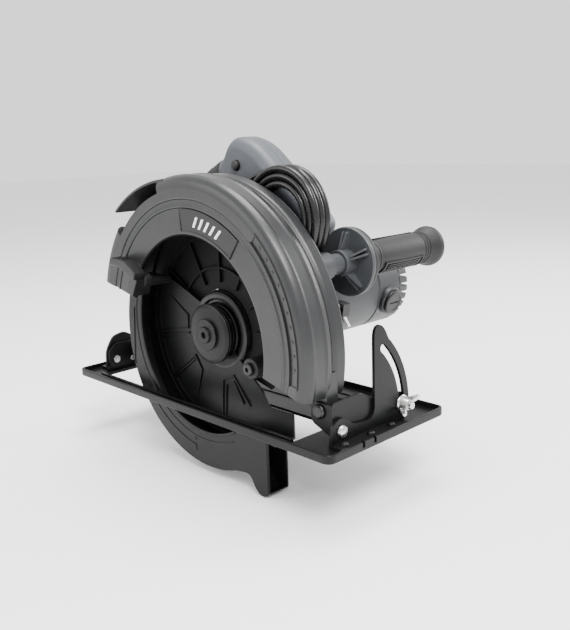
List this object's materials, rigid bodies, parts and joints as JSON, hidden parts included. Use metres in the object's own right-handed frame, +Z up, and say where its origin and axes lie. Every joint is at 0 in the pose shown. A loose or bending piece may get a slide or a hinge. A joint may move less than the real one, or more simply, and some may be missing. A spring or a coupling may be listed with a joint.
{
  "type": "circular saw",
  "caption": "Hand-held corded circular saw without a blade: tilting shoe, fixed and swinging blade guards, geared motor, main and side handles, coiled cord.",
  "frame": {"origin": "on the sole of the shoe, below the arbor and below the middle plane of the main handle", "axes": "+X is the cutting direction, +Y points to the motor side, +Z is up from the sole"},
  "size_m": [0.386, 0.251, 0.3224],
  "materials": {
    "guard_paint": "satin dark grey paint",
    "black_paint": "semi-gloss black paint",
    "housing_plastic": "moulded blue-grey plastic",
    "cast_alloy": "cast, unpainted",
    "black_plastic": "moulded black plastic",
    "grip_rubber": "soft moulded rubber",
    "zinc": "bright zinc plate",
    "steel": "bare steel",
    "copper": "copper windings and bars",
    "cord_rubber": "black rubber sheath"
  },
  "bodies": {
    "base": {"base_plate": "black_paint", "front_bevel_quadrant": "black_paint", "rear_bevel_bracket": "black_paint", "front_bevel_pin": "zinc", "rear_bevel_pin": "zinc"},
    "tilt_frame": {"front_tilt_bracket": "black_paint", "rear_tilt_bracket": "black_paint", "depth_arm": "steel", "depth_pivot_pin": "zinc", "bevel_lock_bolt": "zinc", "rear_lock_bolt": "zinc"},
    "saw_body": {"upper_guard": "guard_paint", "guard_badge": "black_plastic", "guard_stop_bumper": "grip_rubber", "guard_stop_screw": "zinc", "gear_housing": "housing_plastic", "gear_cover": "cast_alloy", "spindle_front_bearing": "steel", "spindle_rear_bearing": "steel", "armature_front_bearing": "steel", "armature_rear_bearing": "steel", "guard_return_spring": "steel", "guard_circlip": "steel", "motor_housing": "housing_plastic", "motor_end_cap": "housing_plastic", "front_brush_cap": "black_plastic", "rear_brush_cap": "black_plastic", "field_core": "steel", "handle_near_half": "housing_plastic", "handle_far_half": "housing_plastic", "switch_body": "black_plastic", "aux_flange": "housing_plastic", "aux_grip": "grip_rubber", "aux_stud": "zinc", "depth_lock_bolt": "zinc", "hex_key": "zinc", "hex_key_clip": "black_plastic", "cord_lead": "cord_rubber", "cord_coil": "cord_rubber", "cord_tail": "cord_rubber", "cord_strain_relief": "cord_rubber", "plug": "cord_rubber"},
    "lower_guard": {"lower_guard": "black_paint", "guard_lever": "black_plastic"},
    "spindle": {"spindle": "steel", "spindle_gear": "steel", "inner_flange": "steel", "outer_flange": "black_paint", "arbor_bolt": "black_paint"},
    "armature": {"armature_shaft": "steel", "pinion": "steel", "armature_core": "copper", "commutator": "copper", "cooling_fan": "black_plastic"},
    "trigger": {"trigger": "black_plastic"},
    "lock_off_button": {"lock_off_button": "black_plastic"},
    "spindle_lock_button": {"spindle_lock_button": "black_plastic"},
    "depth_lock_lever": {"depth_lock_lever": "black_plastic"},
    "bevel_wing_nut": {"bevel_wing_nut": "zinc"}
  },
  "joints": [
    {"name": "bevel_tilt", "type": "hinge", "parent": "base", "child": "tilt_frame", "pos_m": [0.16, -0.0643, 0.016], "axis": [1, 0, 0], "range_deg": [0, 45]},
    {"name": "depth_swing", "type": "hinge", "parent": "tilt_frame", "child": "saw_body", "pos_m": [0.145, -0.0603, 0.031], "axis": [0, 1, 0], "range_deg": [-13, 20]},
    {"name": "lower_guard_swing", "type": "hinge", "parent": "saw_body", "child": "lower_guard", "pos_m": [0, -0.0603, 0.075], "axis": [0, 1, 0], "range_deg": [0, 118], "stiffness_Nm_per_rad": 0.4, "springref_deg": -45.84},
    {"name": "spindle_turn", "type": "hinge", "parent": "saw_body", "child": "spindle", "pos_m": [0, -0.0603, 0.075], "axis": [0, 1, 0], "continuous": true},
    {"name": "armature_turn", "type": "hinge", "parent": "saw_body", "child": "armature", "pos_m": [0.0331, -0.0603, 0.10086], "axis": [0, 1, 0], "continuous": true},
    {"name": "trigger_press", "type": "hinge", "parent": "saw_body", "child": "trigger", "pos_m": [-0.0234, 0, 0.2086], "axis": [0, 1, 0], "range_deg": [0, 8], "stiffness_Nm_per_rad": 0.8, "springref_deg": -5.73},
    {"name": "lock_off_press", "type": "slide", "parent": "saw_body", "child": "lock_off_button", "axis": [0, 1, 0], "range_m": [0, 0.004], "stiffness_N_per_m": 300, "springref_m": -0.002},
    {"name": "spindle_lock_press", "type": "slide", "parent": "saw_body", "child": "spindle_lock_button", "axis": [0.9703, 0, -0.2419], "range_m": [0, 0.004], "stiffness_N_per_m": 300, "springref_m": -0.002},
    {"name": "depth_lever_turn", "type": "hinge", "parent": "saw_body", "child": "depth_lock_lever", "pos_m": [-0.08787, -0.0223, 0.08906], "axis": [0, 1, 0], "range_deg": [0, 45]},
    {"name": "wing_nut_turn", "type": "hinge", "parent": "tilt_frame", "child": "bevel_wing_nut", "pos_m": [0.165, 0.01765, 0.01886], "axis": [1, 0, 0], "range_deg": [0, 180]}
  ],
  "couplings": [
    {"joint": "armature_turn", "follows": "spindle_turn", "ratio": -4.6}
  ]
}
